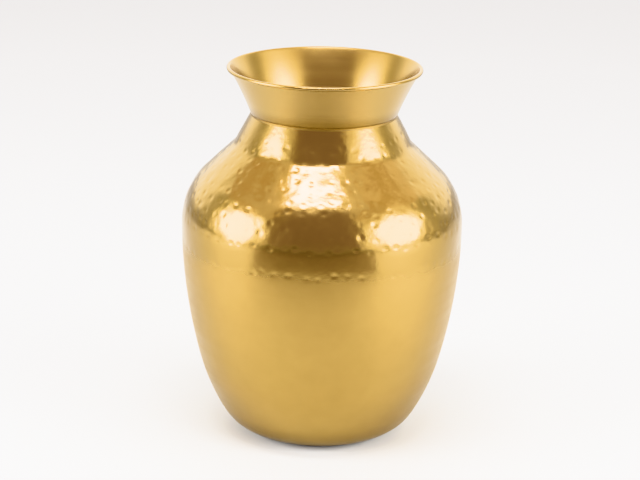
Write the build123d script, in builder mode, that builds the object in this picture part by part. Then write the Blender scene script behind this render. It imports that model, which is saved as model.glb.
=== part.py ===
"""A hammered brass kalash pot: a plain spun bowl, a hammered shoulder shell and a flared collar with a
wired lip, lapped together and brazed. Millimetres, +Z up, origin under the centre of the resting face."""

from build123d import *

import math
import os

# ---- Driving dimensions ----
SHEET = 0.8  # 20 gauge sheet brass
WIRE_RADIUS = 0.45  # the wire that the lip is rolled over
WIRE_PLAY = 0.02  # room between the wire and the lip
SEAM_HEIGHT = 122.0  # the belly seam above the resting face
LAP = 8.0  # how far the shell's sleeve reaches down inside the bowl
JOGGLE = 2.0  # how far above the seam the sleeve grows out of the shell
BRAZE_LEG = 1.4  # the leg of a braze fillet along the sheet that it runs down
FLANGE_TURN = 1.6  # degrees of the collar's flare that the neck flange follows, about 6 mm

# Every outline is a chain of segments that starts at the axis or at a joint, with the inside of the pot on
# the left. A segment is a straight (length,) or an arc (radius, turn in degrees, positive to the left),
# and its numbers are those of the outer skin.
PANEL_RISE = 2.4  # the middle of the base is pushed up, so that the pot stands on the ring round it
PANEL_RADIUS = 30.0
PANEL_STEP_RADIUS = 8.0
PANEL_STEP_TURN = math.degrees(math.acos(1 - PANEL_RISE / (2 * PANEL_STEP_RADIUS)))
STAND_RING_WIDTH = 6.5
BASE = [
    (PANEL_RADIUS,),
    (PANEL_STEP_RADIUS, -PANEL_STEP_TURN),
    (PANEL_STEP_RADIUS, PANEL_STEP_TURN),
    (STAND_RING_WIDTH,),
]
BOWL_SIDE = [(26.0, 54.5), (64.0, 6.5), (155.0, 14.5), (380.0, 14.5)]  # from level to upright
SHOULDER_LEAN = 46.5  # from upright, inwards going up
NECK_LEAN = 29.0  # from upright, inwards going up
COLLAR_LEAN = 21.0  # from upright, outwards going up, at the collar's lower edge
SHOULDER = [(47.5, SHOULDER_LEAN), (26.5,), (14.0, NECK_LEAN - SHOULDER_LEAN), (22.0,)]
WAIST = (0.5, -NECK_LEAN - COLLAR_LEAN)
FLARE_RADIUS = 210.0
FLARE = (FLARE_RADIUS, -9.2)
LIP = (WIRE_RADIUS + WIRE_PLAY, -250.0)

# ---- Derived ----
BODY = BASE + BOWL_SIDE + SHOULDER
UPPER_SKIN = BODY + [WAIST, (FLARE_RADIUS + SHEET, -FLANGE_TURN)]
PANEL_CENTRE = Vector(0, PANEL_RISE)
LEVEL = 0.0
NECK_HEADING = 90.0 + NECK_LEAN
COLLAR_HEADING = 90.0 - COLLAR_LEAN
SLEEVE_FOOT = SEAM_HEIGHT - LAP
ABOVE_ALL = 300.0


def heading_vector(degrees):
    """The unit vector of a heading in the section, from 0 straight outwards to 90 straight up."""
    return Vector(math.cos(math.radians(degrees)), math.sin(math.radians(degrees)))


def draw_skin(start, heading, segments, depth=0.0):
    """Draws a chain of segments at a depth under the outer skin, and returns the points between them,
    the first and last included. The start is where the chain starts on the outer skin."""
    here = start + heading_vector(heading + 90) * depth
    points = [here]
    for segment in segments:
        if len(segment) == 1:
            edge = Line(here, here + heading_vector(heading) * segment[0])
        else:
            radius, turn = segment
            edge = JernArc(here, heading_vector(heading), radius - math.copysign(depth, turn), turn)
            heading += turn
        here = edge @ 1
        points.append(here)
    return points


def draw_sheet(start, heading, segments, outer_depth, inner_depth):
    """Draws the closed section of one sheet of metal, between two depths under the outer skin."""
    outer = draw_skin(start, heading, segments, outer_depth)
    inner = draw_skin(start, heading, segments, inner_depth)
    Line(outer[0], inner[0])
    Line(outer[-1], inner[-1])


def keep_between(low, high):
    """Cuts the section in hand down to what lies between two heights."""
    with Locations((0, low)):
        Rectangle(2 * ABOVE_ALL, high - low, align=(Align.CENTER, Align.MIN), mode=Mode.INTERSECT)


with BuildLine(mode=Mode.PRIVATE):
    body_points = draw_skin(PANEL_CENTRE, LEVEL, BODY + [WAIST])
belly = body_points[len(BASE) + len(BOWL_SIDE)]
neck_end, flange_start = body_points[-2:]
collar_start = flange_start + heading_vector(COLLAR_HEADING - 90) * SHEET


def side_point(height, depth):
    """The point of the bowl's side, on its last arc, at a height and at a depth under the outer skin."""
    side_radius = BOWL_SIDE[-1][0]
    centre_radius = belly.X - side_radius
    drop = belly.Y - height
    return Vector(centre_radius + math.sqrt((side_radius - depth) ** 2 - drop**2), height)


# ---- Lower bowl: spun from one disc, plain outside, its middle pushed up inside the stand ring ----
with BuildPart() as lower_bowl:
    with BuildSketch(Plane.XZ):
        with BuildLine():
            draw_sheet(PANEL_CENTRE, LEVEL, BODY, 0, SHEET)
        make_face()
        keep_between(0, SEAM_HEIGHT)
    revolve(axis=Axis.Z)

# ---- Upper shell: the hammered shoulder, with a sleeve inside the bowl and a flange inside the collar ----
with BuildPart() as upper_shell:
    with BuildSketch(Plane.XZ):
        with BuildLine():
            draw_sheet(PANEL_CENTRE, LEVEL, UPPER_SKIN, 0, SHEET)
        make_face()
        keep_between(SEAM_HEIGHT, ABOVE_ALL)
    with BuildSketch(Plane.XZ):
        with BuildLine():
            draw_sheet(PANEL_CENTRE, LEVEL, BODY, SHEET, 2 * SHEET)
        make_face()
        keep_between(SLEEVE_FOOT, SEAM_HEIGHT + JOGGLE)
    revolve(axis=Axis.Z)

# ---- Belly braze: the fillet of spelter inside the bowl, under the sleeve's lower edge ----
with BuildPart() as belly_braze:
    with BuildSketch(Plane.XZ):
        with BuildLine():
            sleeve_edge = side_point(SLEEVE_FOOT, SHEET)
            fillet_foot = side_point(SLEEVE_FOOT - BRAZE_LEG, SHEET)
            Line(sleeve_edge, side_point(SLEEVE_FOOT, 2 * SHEET))
            Line(side_point(SLEEVE_FOOT, 2 * SHEET), fillet_foot)
            RadiusArc(fillet_foot, sleeve_edge, BOWL_SIDE[-1][0] - SHEET)
        make_face()
    revolve(axis=Axis.Z)

# ---- Collar: one spun flare, slipped over the flange, its top rolled outwards over a wire ----
with BuildPart() as collar:
    with BuildSketch(Plane.XZ):
        with BuildLine():
            draw_sheet(collar_start, COLLAR_HEADING, [FLARE, LIP], 0, SHEET)
        make_face()
    revolve(axis=Axis.Z)

# ---- Rim wire: a closed ring of round wire inside the rolled lip ----
with BuildLine(mode=Mode.PRIVATE):
    lip_start = draw_skin(collar_start, COLLAR_HEADING, [FLARE])[-1]
wire_centre = lip_start + heading_vector(COLLAR_HEADING + FLARE[1] - 90) * LIP[0]
with BuildPart() as rim_wire:
    with BuildSketch(Plane.XZ):
        with Locations(wire_centre):
            Circle(WIRE_RADIUS)
    revolve(axis=Axis.Z)

# ---- Neck braze: the fillet of spelter outside, between the collar's lower edge and the shoulder ----
with BuildPart() as neck_braze:
    with BuildSketch(Plane.XZ):
        with BuildLine():
            draw_skin(neck_end, NECK_HEADING, [WAIST])
            neck_fillet_foot = neck_end - heading_vector(NECK_HEADING) * BRAZE_LEG
            Polyline(flange_start, collar_start, neck_fillet_foot, neck_end)
        make_face()
    revolve(axis=Axis.Z)

# ---- Write each piece ----
pieces = {
    "lower_bowl": lower_bowl,
    "upper_shell": upper_shell,
    "belly_braze": belly_braze,
    "collar": collar,
    "rim_wire": rim_wire,
    "neck_braze": neck_braze,
}
os.makedirs("parts", exist_ok=True)
for name, piece in pieces.items():
    piece.part.label = name
    export_step(piece.part, f"parts/{name}.step")
    print(f"{name}: {len(piece.part.solids())} solid, {piece.part.volume:.1f} mm3")

print(f"belly radius {belly.X:.2f} at height {belly.Y:.2f}")
print(f"neck radius {collar_start.X:.2f} at height {collar_start.Y:.2f}")
print(f"rim radius {collar.part.bounding_box().max.X:.2f}, height {collar.part.bounding_box().max.Z:.2f}")
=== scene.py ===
# %% [markdown]
# # A hammered brass kalash pot
#
# The pot is sheet brass: a plain spun bowl, a hammered shoulder shell and a flared collar with a wired lip,
# lapped together and brazed. This lesson turns each piece from its outline, hammers the shoulder blow by
# blow, and gives every surface the finish that its maker's tools leave. All is in metres, with Z up.

# %% Load the frame and measure it
import math
import random

import bpy
from mathutils import Matrix, Vector, kdtree, noise


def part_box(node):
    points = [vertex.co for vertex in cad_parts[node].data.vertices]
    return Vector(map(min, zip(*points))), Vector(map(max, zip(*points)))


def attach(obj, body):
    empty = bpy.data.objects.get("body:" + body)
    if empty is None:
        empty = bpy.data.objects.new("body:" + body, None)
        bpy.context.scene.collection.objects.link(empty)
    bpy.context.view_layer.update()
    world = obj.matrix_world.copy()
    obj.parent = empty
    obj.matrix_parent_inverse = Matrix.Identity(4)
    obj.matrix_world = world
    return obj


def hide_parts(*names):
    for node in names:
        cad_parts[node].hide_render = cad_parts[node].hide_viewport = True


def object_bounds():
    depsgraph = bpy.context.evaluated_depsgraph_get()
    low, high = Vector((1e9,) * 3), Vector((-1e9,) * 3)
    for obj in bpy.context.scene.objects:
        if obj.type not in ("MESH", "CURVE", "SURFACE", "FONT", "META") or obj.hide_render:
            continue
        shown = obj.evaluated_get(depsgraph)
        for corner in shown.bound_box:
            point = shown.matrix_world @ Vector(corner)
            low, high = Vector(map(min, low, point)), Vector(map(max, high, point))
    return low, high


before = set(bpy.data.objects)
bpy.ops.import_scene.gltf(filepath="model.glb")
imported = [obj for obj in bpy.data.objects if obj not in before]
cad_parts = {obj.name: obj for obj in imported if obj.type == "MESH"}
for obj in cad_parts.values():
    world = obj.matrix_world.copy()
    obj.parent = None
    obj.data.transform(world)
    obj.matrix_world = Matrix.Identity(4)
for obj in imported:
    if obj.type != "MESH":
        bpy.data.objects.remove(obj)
cad_low, cad_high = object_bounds()
MM = 0.001
POT_HEIGHT = cad_high.z
print(f"pot {POT_HEIGHT / MM:.1f} mm tall, {2 * cad_high.x / MM:.1f} mm across")

# %% [markdown]
# ## The camera
#
# The pot is seen from well back and a little above, so that its mouth shows as a narrow ellipse. The camera
# stands five pot heights away with a short telephoto lens, because a nearer one would make the belly bulge.
# It is turned by a degree about the direction that it looks in, so that the pot leans very slightly.

# %% Camera
CAMERA_DISTANCE = 4.965 * POT_HEIGHT
CAMERA_HEIGHT = 2.079 * POT_HEIGHT
CAMERA_PITCH = math.radians(17.36)
CAMERA_ROLL = math.radians(1.1)

camera_data = bpy.data.cameras.new("camera")
camera_data.sensor_width = 36.0
camera_data.lens = 108.0
camera_data.shift_x = -0.0027
camera_data.shift_y = -0.0041
camera = bpy.data.objects.new("camera", camera_data)
bpy.context.scene.collection.objects.link(camera)
camera.matrix_world = (
    Matrix.Translation((0, -CAMERA_DISTANCE, CAMERA_HEIGHT))
    @ Matrix.Rotation(math.pi / 2 - CAMERA_PITCH, 4, "X")
    @ Matrix.Rotation(CAMERA_ROLL, 4, "Z")
)
bpy.context.scene.camera = camera
print(f"camera {CAMERA_DISTANCE:.3f} m away, {CAMERA_HEIGHT:.3f} m up")

# %% [markdown]
# ## The studio
#
# Polished metal has little colour of its own to show: it shows the room. So the light is laid out as the
# metal will mirror it. A round softbox on each side gives the belly a bright spot, and a narrow one hangs
# overhead. They are area lights, because a mirror shows the shape of such a light as well as its strength.

# %% Helpers for the studio
def around(azimuth, distance, height):
    """A place round the pot. Azimuth is in degrees, 0 at the camera and positive to its right."""
    turn = math.radians(azimuth)
    return Vector((distance * math.sin(turn), -distance * math.cos(turn), height))


def add_softbox(name, shape, place, target, width, height, watts):
    """A studio light, rectangular or elliptical, that shines at a target."""
    data = bpy.data.lights.new(name, "AREA")
    data.shape = shape
    data.size = width
    data.size_y = height
    data.energy = watts
    light = bpy.data.objects.new(name, data)
    light.visible_camera = False
    bpy.context.scene.collection.objects.link(light)
    aim = (target - place).to_track_quat("-Z", "Y")
    light.matrix_world = Matrix.Translation(place) @ aim.to_matrix().to_4x4()
    print(f"{name}: {width:.2f} x {height:.2f} m, {watts} W")


# %% Softboxes
middle = Vector((0, 0, POT_HEIGHT * 0.6))
add_softbox("softbox_left", "ELLIPSE", around(-72, 1.3, 0.52), middle, 0.86, 0.90, 46)
add_softbox("softbox_right", "ELLIPSE", around(65, 1.3, 0.54), middle, 1.06, 0.94, 56)
add_softbox("softbox_top", "RECTANGLE", Vector((-0.07, -0.35, 1.25)), middle, 0.62, 0.11, 22)

# %% [markdown]
# ## The table and the flag
#
# The pot stands on a wide, pale table, which fills the lower half of its reflections. The table is a touch
# low, so that it never shares a plane with the ring that the pot stands on. In front lies a flag, which is a
# studio's name for a dark card: its reflection is the dark band round the belly. It could be square, but a
# strip of a ring gives a band with level edges, so a line is spun about the pot. The metal alone sees it.

# %% Table
TABLE_RADIUS = 7.0
TABLE_DROP = 0.1 * MM
bpy.ops.object.select_all(action="DESELECT")
bpy.ops.mesh.primitive_circle_add(
    vertices=96, radius=TABLE_RADIUS, fill_type="NGON", location=(0, 0, -TABLE_DROP)
)
table = bpy.context.active_object
table.name = "table"
print(f"table: {table.dimensions.x:.1f} m across, {TABLE_DROP / MM:.1f} mm under the pot")

# %% Flag
FLAG_LEFT = -52
FLAG_TURN = 93
FLAG_REACH = (0.42, 3.4)
FLAG_LIFT = 4 * MM
bpy.ops.object.select_all(action="DESELECT")
bpy.ops.mesh.primitive_plane_add(size=MM, location=(0, 0, 0))
flag = bpy.context.active_object
flag.name = "flag"
flag_start = around(FLAG_LEFT, FLAG_REACH[0], FLAG_LIFT)
stride = around(FLAG_LEFT, FLAG_REACH[1], FLAG_LIFT) - flag_start
bpy.ops.object.mode_set(mode="EDIT")
bpy.ops.mesh.select_mode(type="VERT")
bpy.ops.mesh.merge(type="CENTER")
bpy.ops.transform.translate(value=flag_start)
bpy.ops.mesh.extrude_region_move(TRANSFORM_OT_translate={"value": stride})
bpy.ops.mesh.select_all(action="SELECT")
# A positive angle would spin it clockwise, seen from above.
bpy.ops.mesh.spin(steps=32, angle=math.radians(-FLAG_TURN), center=(0, 0, 0), axis=(0, 0, 1))
bpy.ops.object.mode_set(mode="OBJECT")
flag.visible_camera = False
flag.visible_diffuse = False
flag.visible_shadow = False
print(f"flag: {len(flag.data.polygons)} faces, {flag.dimensions.x:.2f} m wide")

# %% Paper on the table and the flag
for stage_piece, tone in ((table, (0.395, 0.402, 0.408, 1)), (flag, (0.11, 0.09, 0.10, 1))):
    paper = bpy.data.materials.new(stage_piece.name)
    paper.use_nodes = True
    paper.node_tree.nodes["Principled BSDF"].inputs["Base Color"].default_value = tone
    paper.node_tree.nodes["Principled BSDF"].inputs["Roughness"].default_value = 0.7
    stage_piece.data.materials.append(paper)
    print(f"{stage_piece.name}: paper of tone {tone[1]:.2f}")

# %% [markdown]
# ## The room
#
# Beyond the table the metal mirrors a room. It could be built from walls, but here it is painted on the
# world behind everything, by azimuth and elevation, which is quick to change and needs no image. There is a
# bright wall behind the pot, a paler ceiling with darker beams, a glow round each softbox, and a dim stretch
# behind the camera, which is the dark shape down the front of the pot. Soft edges suit a satin metal.

# %% Helpers for nodes
def feed(tree, value, socket):
    """Gives a socket a number, a colour or the output of another node."""
    if isinstance(value, (int, float)):
        socket.default_value = value
    elif isinstance(value, tuple):
        socket.default_value = (*value, 1)
    else:
        tree.links.new(value, socket)


def add_math(tree, operation, *values):
    """One step of arithmetic. A value is a number or another step's output."""
    step = tree.nodes.new("ShaderNodeMath")
    step.operation = operation
    for socket, value in zip(step.inputs, values):
        feed(tree, value, socket)
    return step.outputs[0]


def add_ramp(tree, value, low, high, smooth=True):
    """0 at low, 1 at high, and held beyond them. Low may be the larger of the two."""
    step = tree.nodes.new("ShaderNodeMapRange")
    step.interpolation_type = "SMOOTHSTEP" if smooth else "LINEAR"
    tree.links.new(value, step.inputs["Value"])
    step.inputs["From Min"].default_value = low
    step.inputs["From Max"].default_value = high
    return step.outputs["Result"]


def add_noise(tree, vector, scale, detail):
    """Cloudy noise read at a vector."""
    cloud = tree.nodes.new("ShaderNodeTexNoise")
    tree.links.new(vector, cloud.inputs["Vector"])
    cloud.inputs["Detail"].default_value = detail
    feed(tree, scale, cloud.inputs["Scale"])
    return cloud.outputs["Fac"]


def add_mix(tree, share, first, second):
    """The first colour where the share is 0, the second where it is 1."""
    step = tree.nodes.new("ShaderNodeMix")
    step.data_type = "RGBA"
    tree.links.new(share, step.inputs["Factor"])
    feed(tree, first, step.inputs["A"])
    feed(tree, second, step.inputs["B"])
    return step.outputs["Result"]


# %% Directions in the room
room = bpy.data.worlds.new("room")
bpy.context.scene.world = room
room.use_nodes = True
sky = room.node_tree
room_coord = sky.nodes.new("ShaderNodeTexCoord").outputs["Generated"]
direction = sky.nodes.new("ShaderNodeSeparateXYZ")
sky.links.new(room_coord, direction.inputs[0])
across, along, upward = direction.outputs
azimuth = add_math(sky, "ARCTAN2", across, add_math(sky, "MULTIPLY", along, -1.0))
elevation = add_math(sky, "ARCSINE", upward)


def room_ramp(angle, low, high):
    """0 at low, 1 at high, smooth between, for limits in degrees. Low may be the larger of the two."""
    return add_ramp(sky, angle, math.radians(low), math.radians(high))


def room_patch(middle_azimuth, half_width, low, high, soft):
    """1 inside a patch of the room, 0 outside it, with soft edges. All in degrees."""
    turned = add_math(sky, "SUBTRACT", azimuth, math.radians(middle_azimuth))
    sides = room_ramp(add_math(sky, "ABSOLUTE", turned), half_width + soft, half_width)
    foot = room_ramp(elevation, low - soft, low)
    head = room_ramp(elevation, high + soft, high)
    return add_math(sky, "MULTIPLY", sides, add_math(sky, "MULTIPLY", foot, head))


# %% Painting the room
WALLS = (1.0, 0.97, 0.93)
CEILING = (1.6, 1.48, 1.42)
BACK_WALL = (3.0, 3.0, 2.95)
SKYLIGHT = (2.2, 2.0, 1.85)
BEAMS = (1.32, 1.05, 0.90)
LEFT_GLOW = (2.2, 2.15, 2.0)
RIGHT_GLOW = (2.3, 2.25, 2.1)
DIM_FRONT = (0.62, 0.50, 0.64)

surround = add_mix(sky, room_ramp(elevation, 30, 48), WALLS, CEILING)
from_camera = add_math(sky, "ABSOLUTE", azimuth)
behind = add_math(sky, "MULTIPLY", room_ramp(from_camera, 108, 136), room_ramp(elevation, -1, 9))
surround = add_mix(sky, behind, surround, BACK_WALL)
surround = add_mix(sky, room_patch(98, 26, 40, 62, 10), surround, SKYLIGHT)
clutter = add_ramp(sky, add_noise(sky, room_coord, 4.5, 2.0), 0.50, 0.57)
beams = add_math(sky, "MULTIPLY", clutter, room_ramp(elevation, 32, 44))
surround = add_mix(sky, beams, surround, BEAMS)
surround = add_mix(sky, room_patch(-70, 20, 4, 28, 14), surround, LEFT_GLOW)
surround = add_mix(sky, room_patch(64, 24, 4, 34, 16), surround, RIGHT_GLOW)
surround = add_mix(sky, room_patch(-6, 38, 4.5, 66, 8), surround, DIM_FRONT)
sky.links.new(surround, sky.nodes["Background"].inputs["Color"])
bpy.context.scene.view_settings.view_transform = "Khronos PBR Neutral"
print(f"room: {len(sky.nodes)} nodes")

# %% [markdown]
# ## Outlines
#
# A spinner forces a disc of brass over a turning former, so each piece is a body of revolution. Its outline
# is walked as a draughtsman would set it out: straights and arcs, each one starting in the direction that
# the last one ended in. A sheet's two skins are the same walk at two depths.

# %% Walking an outline
SHEET = 0.8 * MM


def heading_vector(degrees):
    """The direction of a heading in the section, from 0 straight outwards to 90 straight up."""
    turn = math.radians(degrees)
    return Vector((math.cos(turn), math.sin(turn)))


def walk(start, heading, segments, depth, spacing):
    """Points (radius, height) along straights (length,) and arcs (radius, turn in degrees), at a depth under
    the outer skin. Points in a row are about the spacing apart, and no more than 12 degrees of turn."""
    here = Vector(start) + heading_vector(heading + 90) * depth
    points = [here]
    for segment in segments:
        if len(segment) == 1:
            count = max(1, round(segment[0] / spacing))
            stride = heading_vector(heading) * segment[0] / count
            points += [here + stride * (i + 1) for i in range(count)]
        else:
            turn = segment[1]
            side = math.copysign(1, turn)
            radius = segment[0] - depth * side
            centre = here + heading_vector(heading + 90) * radius * side
            count = math.ceil(max(radius * math.radians(abs(turn)) / spacing, abs(turn) / 12))
            for i in range(count):
                angle = heading + turn * (i + 1) / count
                points.append(centre - heading_vector(angle + 90) * radius * side)
            heading += turn
        here = points[-1]
    return points


def between(points, low, high):
    """The stretch of an outline between two heights, cut where it crosses them."""
    kept = []
    for a, b in zip(points, points[1:]):
        for level in (low, high):
            if (a.y - level) * (b.y - level) < 0:
                kept.append(a.lerp(b, (level - a.y) / (b.y - a.y)))
        if low <= b.y <= high:
            kept.append(b)
    return kept


# %% The pot's outline
PANEL_CENTRE = Vector((0, 2.4 * MM))
BASE = [(30.0 * MM,), (8.0 * MM, -31.79), (8.0 * MM, 31.79), (6.5 * MM,)]
BOWL_SIDE = [(26.0 * MM, 54.5), (64.0 * MM, 6.5), (155.0 * MM, 14.5), (380.0 * MM, 14.5)]
SHOULDER = [(47.5 * MM, 46.5), (26.5 * MM,), (14.0 * MM, -17.5), (22.0 * MM,)]
WAIST = (0.5 * MM, -50.0)
FLANGE = (210.8 * MM, -1.6)
FLARE = (210.0 * MM, -9.2)
LIP = (0.47 * MM, -250.0)
COLLAR_HEADING = 69.0
SEAM_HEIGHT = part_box("lower_bowl")[1][2]
SLEEVE_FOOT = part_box("upper_shell")[0][2]
SLEEVE_TOP = SEAM_HEIGHT + 2.0 * MM
TO_BELLY = BASE + BOWL_SIDE
TO_NECK = TO_BELLY + SHOULDER + [WAIST]


def from_middle(segments, depth, spacing):
    """A walk that starts straight outwards from the middle of the underside."""
    return walk(PANEL_CENTRE, 0, segments, depth, spacing)


print(f"seam at {SEAM_HEIGHT / MM:.1f} mm, sleeve down to {SLEEVE_FOOT / MM:.1f} mm")


# %% Spinning an outline
ROUND_STEPS = 320
POINTS_APART = 0.001 * MM
SPIN_APART = 0.002 * MM
SHARP = math.radians(50)
SMOOTH = math.radians(40)


def spin_outline(name, points, steps, edge_round=0.0):
    """Extrudes a vertex along an outline, spins it round the axis and rounds its sharp edges. An outline
    that starts and ends on the axis is closed there, and any other is closed by an edge."""
    bpy.ops.object.select_all(action="DESELECT")
    bpy.ops.mesh.primitive_plane_add(size=MM, location=(0, 0, 0))
    piece = bpy.context.active_object
    piece.name = piece.data.name = name
    bpy.ops.object.mode_set(mode="EDIT")
    bpy.ops.mesh.select_mode(type="VERT")
    bpy.ops.mesh.merge(type="CENTER")
    bpy.ops.transform.translate(value=(points[0].x, 0, points[0].y))
    loop = points if points[0].x == points[-1].x == 0 else points + points[:1]
    for a, b in zip(loop, loop[1:]):
        stride = (b.x - a.x, 0, b.y - a.y)
        bpy.ops.mesh.extrude_region_move(TRANSFORM_OT_translate={"value": stride})
    bpy.ops.mesh.select_all(action="SELECT")
    bpy.ops.mesh.remove_doubles(threshold=POINTS_APART)
    bpy.ops.mesh.spin(steps=steps, angle=2 * math.pi, center=(0, 0, 0), axis=(0, 0, 1))
    bpy.ops.mesh.select_all(action="SELECT")
    bpy.ops.mesh.remove_doubles(threshold=SPIN_APART)
    bpy.ops.mesh.normals_make_consistent(inside=False)
    if edge_round:
        bpy.ops.mesh.select_all(action="DESELECT")
        bpy.ops.mesh.select_mode(type="EDGE")
        bpy.ops.mesh.edges_select_sharp(sharpness=SHARP)
        bpy.ops.mesh.bevel(offset=edge_round, segments=2, affect="EDGES")
    bpy.ops.object.mode_set(mode="OBJECT")
    bpy.ops.object.shade_smooth_by_angle(angle=SMOOTH)
    print(f"{name}: {len(piece.data.polygons)} faces")
    return piece


# %% [markdown]
# ## The lower bowl
#
# The bottom half is one disc, spun in a few passes and left plain. Its middle is pushed up, so that the pot
# stands on a flat ring and doesn't rock. A single skin with a Solidify modifier would do, but here both skins
# and the edge at the seam are one closed outline, because the wall is then the same as in the CAD.

# %% Lower bowl
bowl_outline = [PANEL_CENTRE]
bowl_outline += between(from_middle(TO_BELLY, 0, 2.5 * MM), -MM, SEAM_HEIGHT)
bowl_outline += between(from_middle(TO_BELLY, SHEET, 3.5 * MM), -MM, SEAM_HEIGHT)[::-1]
bowl_outline += [PANEL_CENTRE + Vector((0, SHEET))]
lower_bowl = spin_outline("bowl", bowl_outline, ROUND_STEPS)
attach(lower_bowl, "root")
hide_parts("lower_bowl")

# %% [markdown]
# ## The shoulder shell
#
# The shoulder is raised from sheet and then planished, which is to close the metal blow beside blow with a
# smooth hammer. Its sleeve steps in by one sheet and laps down inside the bowl. The marks are real shape and
# not only relief in a material, so the outer skin has a fine net: a dent about six millimetres long has five
# or six points across it. The inner skin is coarser, because it is seen only through the mouth.

# %% Shoulder shell before hammering
SKIN_NET = 1.0 * MM
SHOULDER_STEPS = 600
shell_outer = between(from_middle(TO_NECK + [FLANGE], 0, SKIN_NET), SEAM_HEIGHT, POT_HEIGHT)
shell_inner = between(from_middle(TO_NECK + [FLANGE], SHEET, 8 * MM), SLEEVE_TOP, POT_HEIGHT)
sleeve_inner = between(from_middle(TO_BELLY, 2 * SHEET, 2.5 * MM), SLEEVE_FOOT, SLEEVE_TOP)
sleeve_outer = between(from_middle(TO_BELLY, SHEET, 4 * MM), SLEEVE_FOOT, SEAM_HEIGHT)
shell_outline = shell_outer + shell_inner[::-1] + sleeve_inner[::-1] + sleeve_outer
shoulder = spin_outline("shoulder", shell_outline, SHOULDER_STEPS)

# %% [markdown]
# ## Hammering
#
# The planisher works in rings, turning the pot on a stake, and the hammer's small face leaves an oval dent
# at each blow, about a centimetre from the next. The hand is unsteady, so places, sizes and depths vary.
# Under the dents the whole shoulder keeps a slow unevenness from the raising. A noise texture alone would
# look like orange peel, so each blow is placed by itself, and its depth goes into a Displace modifier.

# %% Rows of blows
ALONG_PITCH = 9.6 * MM
ROW_PITCH = 7.4 * MM
DENT_HALF = Vector((2.9 * MM, 2.2 * MM))
DENT_DEEP = 0.22 * MM
DENT_DEPTHS = (0.4, 0.6, 0.8, 1.0, 1.0, 1.2)
DENT_SIZES = (0.85, 1.25)
random.seed(7)


def ramp(value, low, high):
    """0 at low, 1 at high, smooth between."""
    t = min(1.0, max(0.0, (value - low) / (high - low)))
    return t * t * (3 - 2 * t)


def strike_row(radius, height, share, jitter):
    """Strikes one row of blows round the pot. The share scales their depth, the jitter their wandering."""
    count = round(2 * math.pi * radius / ALONG_PITCH)
    offset = random.random()
    for i in range(count):
        turn = 2 * math.pi * (i + offset + random.uniform(-jitter, jitter)) / count
        drop = random.uniform(-jitter, jitter) * ROW_PITCH
        place = Vector((radius * math.cos(turn), radius * math.sin(turn), height + drop))
        depth = DENT_DEEP * share * random.choice(DENT_DEPTHS)
        blows.append((place, depth, random.uniform(*DENT_SIZES)))


# %% Striking the shoulder
FULL_ABOVE = (145 * MM, 153 * MM)
NECK_FADE = (208 * MM, 219 * MM)
NECK_SHARE = 0.2
TOP_ROW = 220 * MM
BELLY_ROW = 136 * MM
LEAST_SHARE = 0.1
BELLY_BLOWS = (0.9, 0.24)
FAINT_BLOWS = (0.12, 0.4)
SHOULDER_JITTER = 0.27
blows = []
travelled = 0.0
next_row = 0.0
for a, b in zip(shell_outer, shell_outer[1:]):
    travelled += (b - a).length
    full = ramp(b.y, *FULL_ABOVE) * (1 - (1 - NECK_SHARE) * ramp(b.y, *NECK_FADE))
    if travelled >= next_row and b.y < TOP_ROW:
        next_row = travelled + ROW_PITCH * random.uniform(0.9, 1.1)
        if full > LEAST_SHARE:
            strike_row(b.x, b.y, full, SHOULDER_JITTER)
        elif a.y < BELLY_ROW - ROW_PITCH:
            strike_row(b.x, b.y, *FAINT_BLOWS)
    if a.y < BELLY_ROW <= b.y:
        strike_row(b.x, b.y, *BELLY_BLOWS)
blow_tree = kdtree.KDTree(len(blows))
for i, (place, depth, size) in enumerate(blows):
    blow_tree.insert(place, i)
blow_tree.balance()
print(f"{len(blows)} blows")

# %% Depth at a point
WAVES = ((24 * MM, 0.30 * MM), (9.5 * MM, 0.19 * MM), (5 * MM, 0.075 * MM))
WAVES_ABOVE = (138 * MM, 165 * MM)
WAVES_FADE = (200 * MM, 219 * MM)
WAVE_MIDDLE = 0.6
BLOWS_NEARBY = 3


def dent_at(point):
    """How far the blows have sunk the skin at a point. A dent is longer round the pot than up it."""
    sunk = 0.0
    for place, i, distance in blow_tree.find_n(point, BLOWS_NEARBY):
        depth, size = blows[i][1:]
        up = (point.z - place.z) / DENT_HALF.y
        level = math.hypot(point.x - place.x, point.y - place.y) / DENT_HALF.x
        q = min(1.0, (up * up + level * level) / size**2)
        sunk = max(sunk, depth * (1 - q) ** 2)
    return sunk


def wave_at(point):
    """The slow unevenness of the raised shoulder, which fades out at the belly and the neck."""
    share = ramp(point.z, *WAVES_ABOVE) * (1 - ramp(point.z, *WAVES_FADE))
    return share * sum(deep * (WAVE_MIDDLE + noise.noise(point / size)) for size, deep in WAVES)


print(f"at the middle of the first blow: {dent_at(blows[0][0]) / MM:.3f} mm deep")

# %% Sinking the skins
DEEPEST = 1.1 * MM
ON_OUTLINE = 0.1 * MM


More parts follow.
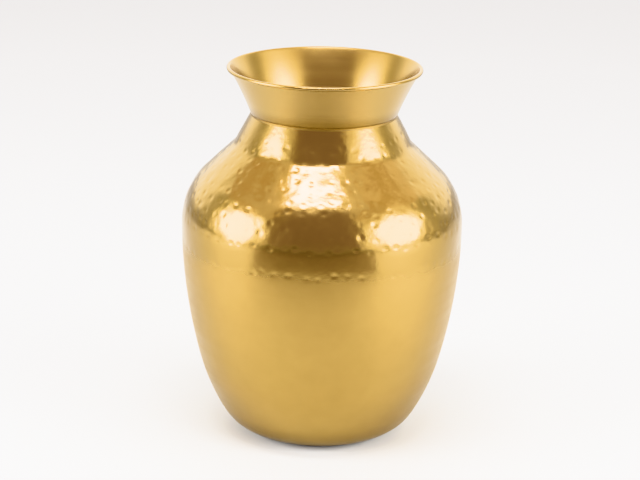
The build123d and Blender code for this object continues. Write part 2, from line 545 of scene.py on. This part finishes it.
def hammer(piece, is_outer, deepest):
    """Stores the sink of every vertex on each skin in a vertex group, then presses the skins in. The dents
    alone, from 0 to 1 times the deepest, are kept as the attribute "dent" for the material."""
    dents = [dent_at(vertex.co) for vertex in piece.data.vertices]
    sinks = [dent + wave_at(vertex.co) for dent, vertex in zip(dents, piece.data.vertices)]
    tone = piece.data.attributes.new("dent", "FLOAT", "POINT")
    tone.data.foreach_set("value", [dent / deepest for dent in dents])
    for skin, strength in (("outer", -deepest), ("inner", deepest)):
        group = piece.vertex_groups.new(name=skin)
        for vertex, sink in zip(piece.data.vertices, sinks):
            if is_outer(vertex.co) == (skin == "outer") and sink > 0:
                group.add([vertex.index], min(1.0, sink / deepest), "REPLACE")
        press = piece.modifiers.new(f"press_{skin}", "DISPLACE")
        press.vertex_group = skin
        press.mid_level = 0.0
        press.strength = strength
    bpy.context.view_layer.objects.active = piece
    for modifier in list(piece.modifiers):
        bpy.ops.object.modifier_apply(modifier=modifier.name)
    print(f"{piece.name}: pressed up to {max(sinks) / MM:.2f} mm")


outer_points = kdtree.KDTree(len(shell_outer))
for i, point in enumerate(shell_outer):
    outer_points.insert((point.x, point.y, 0), i)
outer_points.balance()


def on_outer_skin(co):
    """True where a vertex of the shoulder is on the outer skin."""
    return outer_points.find((math.hypot(co.x, co.y), co.z, 0))[2] < ON_OUTLINE


hammer(shoulder, on_outer_skin, DEEPEST)
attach(shoulder, "root")
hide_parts("upper_shell")

# %% [markdown]
# ## The collar
#
# The mouth is spun on its own, slipped over the neck's flange and brazed. Its lip is rolled outwards over a
# wire, which stiffens a thin edge and makes it kind to the hand. The roll could be a separate ring, but on
# the real piece it is the same sheet, so it is the last arc of the same outline.

# %% Collar
COLLAR_NET = 1.5 * MM
EDGE_ROUND = 0.06 * MM
# Only the end of this walk is wanted, so its spacing, in metres, is longer than any of its runs.
neck_end = from_middle(TO_NECK, 0, 1.0)[-1]
collar_start = neck_end + heading_vector(COLLAR_HEADING - 90) * SHEET
collar_outer = walk(collar_start, COLLAR_HEADING, [FLARE, LIP], 0, COLLAR_NET)
collar_inner = walk(collar_start, COLLAR_HEADING, [FLARE, LIP], SHEET, COLLAR_NET)
collar = spin_outline("mouth", collar_outer + collar_inner[::-1], ROUND_STEPS, EDGE_ROUND)
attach(collar, "root")
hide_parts("collar")

# %% [markdown]
# ## Finishes
#
# Brass from different tools looks different. A spun skin keeps fine rings from the spinner's tool and the
# polishing cloth, which smear a reflection up and down. A hammered skin is burnished by the hammer's face,
# so it mirrors more sharply, most of all on the crests that the cloth reaches. Both carry a thin, cloudy
# tarnish. Each effect that several metals share is a node group, placed in them with its own values.

# %% Helper for node groups
FLOAT, COLOUR = "NodeSocketFloat", "NodeSocketColor"


def new_group(name, inputs, outputs):
    """An empty shader node group. Its inputs and outputs are (name, socket type, value) and (name, type)."""
    group = bpy.data.node_groups.new(name, "ShaderNodeTree")
    for label, kind, value in inputs:
        group.interface.new_socket(label, in_out="INPUT", socket_type=kind).default_value = value
    for label, kind in outputs:
        group.interface.new_socket(label, in_out="OUTPUT", socket_type=kind)
    print(f"group {name}: {len(inputs)} inputs, {len(outputs)} outputs")
    return group, group.nodes.new("NodeGroupInput"), group.nodes.new("NodeGroupOutput")


# %% Node group: spinning rings
TURN_DRIFT = 0.0006
CLOTH_SCALE = 160.0
rings, rings_in, rings_out = new_group(
    "spinning_rings", [("Rings per metre", FLOAT, 1500.0)], [("Height", FLOAT), ("Cloth", FLOAT)]
)
ring_coord = rings.nodes.new("ShaderNodeTexCoord")
ring_split = rings.nodes.new("ShaderNodeSeparateXYZ")
rings.links.new(ring_coord.outputs["Object"], ring_split.inputs[0])
ring_x, ring_y, ring_z = ring_split.outputs
squares = [add_math(rings, "POWER", side, 2.0) for side in (ring_x, ring_y)]
radius = add_math(rings, "SQRT", add_math(rings, "ADD", *squares))
turn = add_math(rings, "MULTIPLY", add_math(rings, "ARCTAN2", ring_y, ring_x), TURN_DRIFT)
ring_vector = rings.nodes.new("ShaderNodeCombineXYZ")
for socket, value in zip(ring_vector.inputs, (radius, ring_z, turn)):
    rings.links.new(value, socket)
fine_rings = add_noise(rings, ring_vector.outputs[0], rings_in.outputs["Rings per metre"], 2.0)
rings.links.new(fine_rings, rings_out.inputs["Height"])
rings.links.new(add_noise(rings, ring_vector.outputs[0], CLOTH_SCALE, 3.0), rings_out.inputs["Cloth"])

# %% Node group: tarnish
tarnish, tarnish_in, tarnish_out = new_group(
    "tarnish",
    [("Clean", COLOUR, (1, 1, 1, 1)), ("Dull", COLOUR, (0, 0, 0, 1)), ("Amount", FLOAT, 0.3)],
    [("Color", COLOUR), ("Mask", FLOAT)],
)
tarnish_coord = tarnish.nodes.new("ShaderNodeTexCoord").outputs["Object"]
broad = add_math(tarnish, "MULTIPLY", add_noise(tarnish, tarnish_coord, 14.0, 4.0), 0.7)
small = add_math(tarnish, "MULTIPLY", add_noise(tarnish, tarnish_coord, 90.0, 5.0), 0.3)
patches = add_ramp(tarnish, add_math(tarnish, "ADD", broad, small), 0.38, 0.72, smooth=False)
share = add_math(tarnish, "MULTIPLY", patches, tarnish_in.outputs["Amount"])
mixed = add_mix(tarnish, share, tarnish_in.outputs["Clean"], tarnish_in.outputs["Dull"])
tarnish.links.new(mixed, tarnish_out.inputs["Color"])
tarnish.links.new(share, tarnish_out.inputs["Mask"])

# %% Node group: inner skin
inner, inner_in, inner_out = new_group(
    "inner_skin", [("Height of the middle", FLOAT, 0.12)], [("Mask", FLOAT)]
)
inner_place = inner.nodes.new("ShaderNodeVectorMath")
inner_place.operation = "SUBTRACT"
inner.links.new(inner.nodes.new("ShaderNodeTexCoord").outputs["Object"], inner_place.inputs[0])
inner_middle = inner.nodes.new("ShaderNodeCombineXYZ")
inner.links.new(inner_in.outputs["Height of the middle"], inner_middle.inputs["Z"])
inner.links.new(inner_middle.outputs[0], inner_place.inputs[1])
inner_facing = inner.nodes.new("ShaderNodeVectorMath")
inner_facing.operation = "DOT_PRODUCT"
inner.links.new(inner_place.outputs[0], inner_facing.inputs[0])
inner.links.new(inner.nodes.new("ShaderNodeNewGeometry").outputs["Normal"], inner_facing.inputs[1])
facing_in = add_math(inner, "LESS_THAN", inner_facing.outputs["Value"], 0.0)
inner.links.new(facing_in, inner_out.inputs["Mask"])

# %% Helpers for metals
BRASS = (0.362, 0.239, 0.0735)
DULL_BRASS = (0.22, 0.14, 0.042)
INSIDE_BRASS = (0.30, 0.18, 0.065)
INSIDE_SHARE = 0.6
INSIDE_ROUGHER = 0.14


def place_group(tree, group, **values):
    """A node group in a material, with constant values by input name (underscores for spaces)."""
    node = tree.nodes.new("ShaderNodeGroup")
    node.node_tree = group
    for label, value in values.items():
        feed(tree, value, node.inputs[label.replace("_", " ")])
    return node


def new_metal(name, tarnish_amount, clean=BRASS):
    """A tarnished brass, ready for its roughness and its relief."""
    metal = bpy.data.materials.new(name)
    metal.use_nodes = True
    tree = metal.node_tree
    skin = tree.nodes["Principled BSDF"]
    skin.inputs["Metallic"].default_value = 1.0
    film = place_group(tree, tarnish, Clean=clean, Dull=DULL_BRASS, Amount=tarnish_amount)
    tree.links.new(film.outputs["Color"], skin.inputs["Base Color"])
    return metal, tree, skin, film.outputs["Mask"]


def recolour(tree, skin, share, colour):
    """Mixes another colour over the skin's own, by a share of 0 to 1."""
    under = skin.inputs["Base Color"].links[0].from_socket
    tree.links.new(add_mix(tree, share, under, colour), skin.inputs["Base Color"])


def dull_inside(tree, skin):
    """Dulls and roughens the inner skin, which no polishing cloth reaches."""
    inside = place_group(tree, inner, Height_of_the_middle=0.12).outputs["Mask"]
    recolour(tree, skin, add_math(tree, "MULTIPLY", inside, INSIDE_SHARE), INSIDE_BRASS)
    smooth = skin.inputs["Roughness"].links[0].from_socket
    rougher = add_math(tree, "MULTIPLY", inside, INSIDE_ROUGHER)
    tree.links.new(add_math(tree, "ADD", smooth, rougher), skin.inputs["Roughness"])


def add_relief(tree, skin, height, distance):
    """Bumps the skin by a height of 0 to 1, times a distance."""
    bump = tree.nodes.new("ShaderNodeBump")
    bump.inputs["Distance"].default_value = distance
    tree.links.new(height, bump.inputs["Height"])
    tree.links.new(bump.outputs["Normal"], skin.inputs["Normal"])


def add_rings(tree, skin, film, roughness, relief):
    """Spinning rings: an uneven roughness and a fine relief."""
    marks = place_group(tree, rings, Rings_per_metre=1800.0)
    uneven = add_math(tree, "MULTIPLY", marks.outputs["Cloth"], 0.12)
    dull = add_math(tree, "MULTIPLY", film, 0.25)
    marked = add_math(tree, "ADD", add_math(tree, "ADD", uneven, dull), roughness - 0.06)
    tree.links.new(marked, skin.inputs["Roughness"])
    add_relief(tree, skin, marks.outputs["Height"], relief)


def paint(piece, metal):
    """Gives a piece one material."""
    piece.data.materials.clear()
    piece.data.materials.append(metal)
    print(f"{piece.name}: {metal.name}, {len(metal.node_tree.nodes)} nodes")


# %% [markdown]
# ## Satin brass: the bowl
#
# The bowl is left as it comes from the spinning lathe and a soft cloth, so its reflections are broad and
# blurred. One roughness would look like paint. Here it wavers with the rings and rises where the tarnish is.

# %% Satin brass
SATIN = 0.34
satin, tree, skin, film = new_metal("satin_brass", 0.3)
add_rings(tree, skin, film, SATIN, 0.006 * MM)
dull_inside(tree, skin)
paint(lower_bowl, satin)

# %% [markdown]
# ## Spun brass: the collar
#
# The collar is spun as well. Its outer side, which faces down and out, is painted a lighter brass than the
# inside: painted light on that side. Its lowest nine millimetres, next to the neck, are darkened towards
# brown. The outer side is found by the way its skin faces, since the collar flares, and the darker foot by
# its height, so neither needs a mask painted by hand.

# %% Spun brass
# A lighter brass for the collar's outer side: painted light.
OUTER_PAINTED_LIGHT = (0.42, 0.29, 0.105)
FOOT_BROWN = (0.21, 0.125, 0.03)
DARK_FOOT_HEIGHT = 9 * MM
spun, tree, skin, film = new_metal("spun_brass", 0.3)
add_rings(tree, skin, film, 0.2, 0.004 * MM)
facing = tree.nodes.new("ShaderNodeSeparateXYZ")
tree.links.new(tree.nodes.new("ShaderNodeNewGeometry").outputs["Normal"], facing.inputs[0])
# Painted light: the outer side, which faces down, gets a lighter brass than the inside.
recolour(tree, skin, add_ramp(tree, facing.outputs["Z"], 0.1, -0.2, smooth=False), OUTER_PAINTED_LIGHT)
spun_split = tree.nodes.new("ShaderNodeSeparateXYZ")
tree.links.new(tree.nodes.new("ShaderNodeTexCoord").outputs["Object"], spun_split.inputs[0])
# The collar's lowest nine millimetres, next to the neck, are darkened towards brown by height.
darker_foot = add_ramp(tree, spun_split.outputs["Z"], collar_start.y + DARK_FOOT_HEIGHT, collar_start.y)
recolour(tree, skin, add_math(tree, "MULTIPLY", darker_foot, 0.6), FOOT_BROWN)
paint(collar, spun)

# %% [markdown]
# ## Hammered brass: the shoulder
#
# Each blow presses the brass smooth, so the shoulder is the best mirror. The strong blows end at the belly,
# and from there down the skin turns as satin as the bowl's, which hides the seam between the two pieces. The
# floor of a dent is a little rougher than its crest. That follows the attribute "dent", stored with the
# blows, because a mask worked out from the shape again would cost far more.

# %% Hammered brass
POLISHED = 0.10
BELLY_BLEND = (142 * MM, 126 * MM)
hammered, tree, skin, film = new_metal("hammered_brass", 0.35)
dent = tree.nodes.new("ShaderNodeAttribute")
dent.attribute_name = "dent"
coord = tree.nodes.new("ShaderNodeTexCoord").outputs["Object"]
split = tree.nodes.new("ShaderNodeSeparateXYZ")
tree.links.new(coord, split.inputs[0])
satin_share = add_ramp(tree, split.outputs["Z"], *BELLY_BLEND)
rougher = add_math(tree, "MULTIPLY", satin_share, SATIN - 0.05 - POLISHED)
base_roughness = add_math(tree, "ADD", rougher, POLISHED)
burnished = add_math(tree, "ADD", base_roughness, add_math(tree, "MULTIPLY", dent.outputs["Fac"], 0.05))
patchy = add_math(tree, "MULTIPLY", add_noise(tree, coord, 150.0, 2.0), 0.1)
unpolished = add_math(tree, "ADD", patchy, add_math(tree, "MULTIPLY", film, 0.2))
tree.links.new(add_math(tree, "ADD", burnished, unpolished), skin.inputs["Roughness"])
add_relief(tree, skin, add_noise(tree, coord, 380.0, 3.0), 0.06 * MM)
dull_inside(tree, skin)
paint(shoulder, hammered)

# %% [markdown]
# ## Spelter and wire: the seams and the lip
#
# Spelter is the brazing brass that runs into the laps and freezes as a rough, beaded fillet, redder and
# duller than the sheet. The lip's wire is drawn brass. The CAD's own shapes are right for all three, so they
# stay as they are and only their material slots are filled again.

# %% Spelter and wire
SPELTER_BRASS = (0.26, 0.165, 0.05)
spelter, tree, skin, film = new_metal("spelter", 0.7, SPELTER_BRASS)
coord = tree.nodes.new("ShaderNodeTexCoord").outputs["Object"]
beads = add_noise(tree, coord, 260.0, 2.0)
beaded = add_math(tree, "ADD", add_math(tree, "MULTIPLY", beads, 0.2), 0.3)
tree.links.new(beaded, skin.inputs["Roughness"])
add_relief(tree, skin, beads, 0.2 * MM)
wire, tree, skin, film = new_metal("brass_wire", 0.4)
add_rings(tree, skin, film, 0.3, 0.004 * MM)
for node, metal in (("belly_braze", spelter), ("neck_braze", spelter), ("rim_wire", wire)):
    for material_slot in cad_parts[node].material_slots:
        material_slot.material = metal
    print(f"{node}: {metal.name}")
